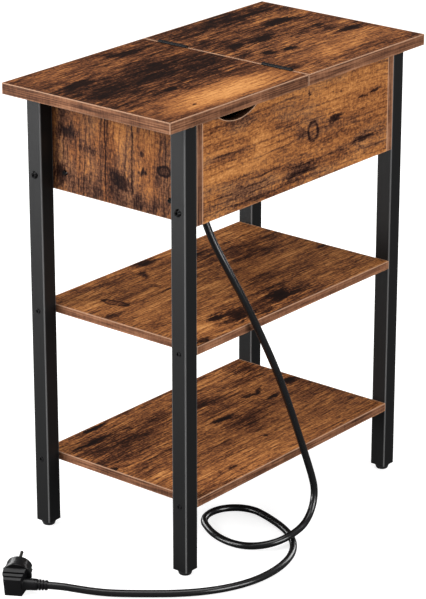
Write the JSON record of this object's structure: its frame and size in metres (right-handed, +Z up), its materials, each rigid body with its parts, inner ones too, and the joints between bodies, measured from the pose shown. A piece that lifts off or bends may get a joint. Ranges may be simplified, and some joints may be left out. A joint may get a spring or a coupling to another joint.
{
  "type": "lift top end table",
  "caption": "Narrow end table: flip-up hinged lid over a storage box with a power strip, open shelves below, square tube legs on levelling feet, and a mains cord with plug.",
  "frame": {"origin": "on the floor, under the middle of the top", "axes": "+X along the top from the lid to the fixed half, +Y from the finger notch to the back, +Z up"},
  "size_m": [0.7372, 0.3831, 0.6785],
  "materials": {
    "rustic_board": "rustic brown grain melamine on particle board, satin",
    "black_tube": "matt black powder coat on steel tube",
    "black_nylon": "moulded black nylon",
    "black_hardware": "black oxide steel",
    "zinc_steel": "bright zinc plate",
    "strip_plastic": "fine textured black plastic",
    "contact_brass": "bare brass",
    "circuit_board": "green solder mask",
    "cord_pvc": "black PVC, satin gloss",
    "nickel": "nickel plated brass"
  },
  "bodies": {
    "base": {"back_panel": "rustic_board", "bottom_screws": "black_hardware", "box_bolt_inserts": "zinc_steel", "box_bolts": "black_hardware", "box_bottom": "rustic_board", "bus_bars": "contact_brass", "cable_grommet": "strip_plastic", "contact_sleeves": "contact_brass", "earth_clips": "contact_brass", "fixed_top": "rustic_board", "front_panel": "rustic_board", "hinge_back_fixed_leaf": "black_hardware", "hinge_back_pin": "black_hardware", "hinge_front_fixed_leaf": "black_hardware", "hinge_front_pin": "black_hardware", "hinge_screws_fixed": "black_hardware", "leg_back_left": "black_tube", "leg_back_right": "black_tube", "leg_cap_back_left": "black_nylon", "leg_cap_back_right": "black_nylon", "leg_cap_front_left": "black_nylon", "leg_cap_front_right": "black_nylon", "leg_front_left": "black_tube", "leg_front_right": "black_tube", "leg_insert_back_left": "black_nylon", "leg_insert_back_right": "black_nylon", "leg_insert_front_left": "black_nylon", "leg_insert_front_right": "black_nylon", "lower_shelf": "rustic_board", "panel_cam_bolts": "zinc_steel", "panel_cam_locks": "zinc_steel", "plug_body": "cord_pvc", "plug_boot": "cord_pvc", "plug_earth_contacts": "nickel", "plug_pins": "nickel", "power_cord": "cord_pvc", "shelf_barrel_nuts": "zinc_steel", "shelf_bolts": "black_hardware", "side_panel_left": "rustic_board", "side_panel_right": "rustic_board", "socket_back": "strip_plastic", "socket_front": "strip_plastic", "strip_base": "strip_plastic", "strip_cover": "strip_plastic", "strip_screws": "zinc_steel", "strip_strain_relief": "cord_pvc", "top_cam_bolts": "zinc_steel", "top_cam_locks": "zinc_steel", "upper_shelf": "rustic_board", "usb_circuit_board": "circuit_board", "usb_module": "strip_plastic"},
    "lid": {"lid": "rustic_board", "hinge_front_lid_leaf": "black_hardware", "hinge_back_lid_leaf": "black_hardware", "hinge_screws_lid": "black_hardware"},
    "front_left_foot": {"foot_front_left": "black_nylon"},
    "front_right_foot": {"foot_front_right": "black_nylon"},
    "back_left_foot": {"foot_back_left": "black_nylon"},
    "back_right_foot": {"foot_back_right": "black_nylon"}
  },
  "joints": [
    {"name": "lid_hinge", "type": "hinge", "parent": "base", "child": "lid", "pos_m": [0.01075, 0, 0.6755], "axis": [0, 1, 0], "range_deg": [0, 180]},
    {"name": "front_left_foot_screw", "type": "slide", "parent": "base", "child": "front_left_foot", "axis": [0, 0, -1], "range_m": [0, 0.008]},
    {"name": "front_right_foot_screw", "type": "slide", "parent": "base", "child": "front_right_foot", "axis": [0, 0, -1], "range_m": [0, 0.008]},
    {"name": "back_left_foot_screw", "type": "slide", "parent": "base", "child": "back_left_foot", "axis": [0, 0, -1], "range_m": [0, 0.008]},
    {"name": "back_right_foot_screw", "type": "slide", "parent": "base", "child": "back_right_foot", "axis": [0, 0, -1], "range_m": [0, 0.008]}
  ]
}
